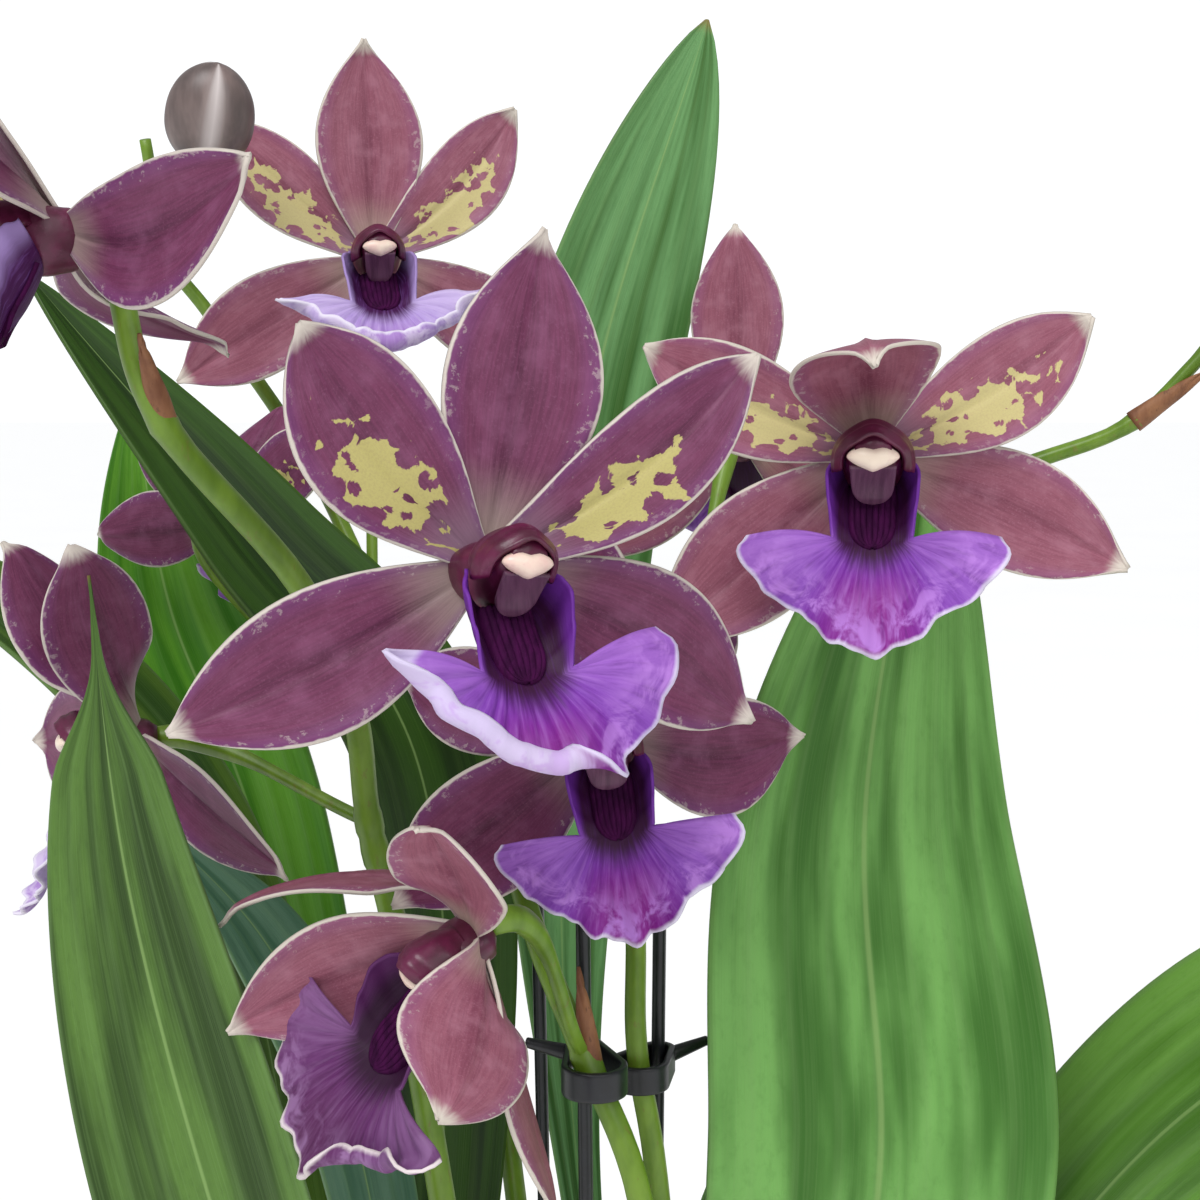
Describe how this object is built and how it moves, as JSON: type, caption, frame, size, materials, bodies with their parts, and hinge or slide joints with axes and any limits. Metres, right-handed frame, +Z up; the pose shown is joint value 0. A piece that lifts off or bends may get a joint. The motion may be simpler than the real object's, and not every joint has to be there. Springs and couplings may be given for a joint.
{
  "type": "potted zygopetalum orchid",
  "caption": "Flowering orchid in a clay pot of bark, with pleated strap leaves, staked flower spikes and dusty purple flowers with broad violet lips.",
  "frame": {"origin": "middle of the pot's underside, on the surface that the pot stands on", "axes": "+Z up; the flowers look mostly towards -Y; +X to the right as seen from the flowers' side"},
  "size_m": [0.3043, 0.2122, 0.4152],
  "materials": {
    "terracotta": "matt fired clay",
    "bark": "rough broken bark",
    "pseudobulb": "fleshy, satin",
    "leaf": "pleated, satin",
    "spike": "fleshy, satin",
    "tepals": "waxy, with a pale margin",
    "lip": "velvety",
    "bud": "waxy, satin",
    "stake": "black, satin",
    "clip": "black, moulded"
  },
  "bodies": {
    "root": {"pot": "terracotta", "bark": "bark", "pseudobulb_right": "pseudobulb", "pseudobulb_back": "pseudobulb", "pseudobulb_back_left": "pseudobulb", "pseudobulb_left": "pseudobulb", "pseudobulb_front_left": "pseudobulb", "pseudobulb_front_right": "pseudobulb", "leaf_tall_right": "leaf", "leaf_tall_back": "leaf", "leaf_arching_right": "leaf", "leaf_front_left": "leaf", "leaf_long_left": "leaf", "leaf_back_left": "leaf", "leaf_low_left": "leaf", "leaf_slender_left": "leaf", "leaf_back_right": "leaf", "leaf_back_drooping": "leaf", "spike_left": "spike", "spike_middle": "spike", "spike_right": "spike", "spike_back": "spike", "flower_main": "tepals", "flower_main_lip": "lip", "flower_right": "tepals", "flower_right_lip": "lip", "flower_back": "tepals", "flower_back_lip": "lip", "flower_top_left": "tepals", "flower_top_left_lip": "lip", "flower_left": "tepals", "flower_left_lip": "lip", "flower_below": "tepals", "flower_below_lip": "lip", "flower_low": "tepals", "flower_low_lip": "lip", "flower_behind_right": "tepals", "flower_behind_right_lip": "lip", "flower_behind_left": "tepals", "flower_behind_left_lip": "lip", "flower_far_right": "tepals", "flower_far_right_lip": "lip", "bud_back": "bud", "bud_right": "bud", "stake_middle": "stake", "stake_right": "stake", "stake_back": "stake", "clip_middle": "clip", "clip_right": "clip", "clip_right_low": "clip", "clip_back": "clip"}
  },
  "joints": []
}
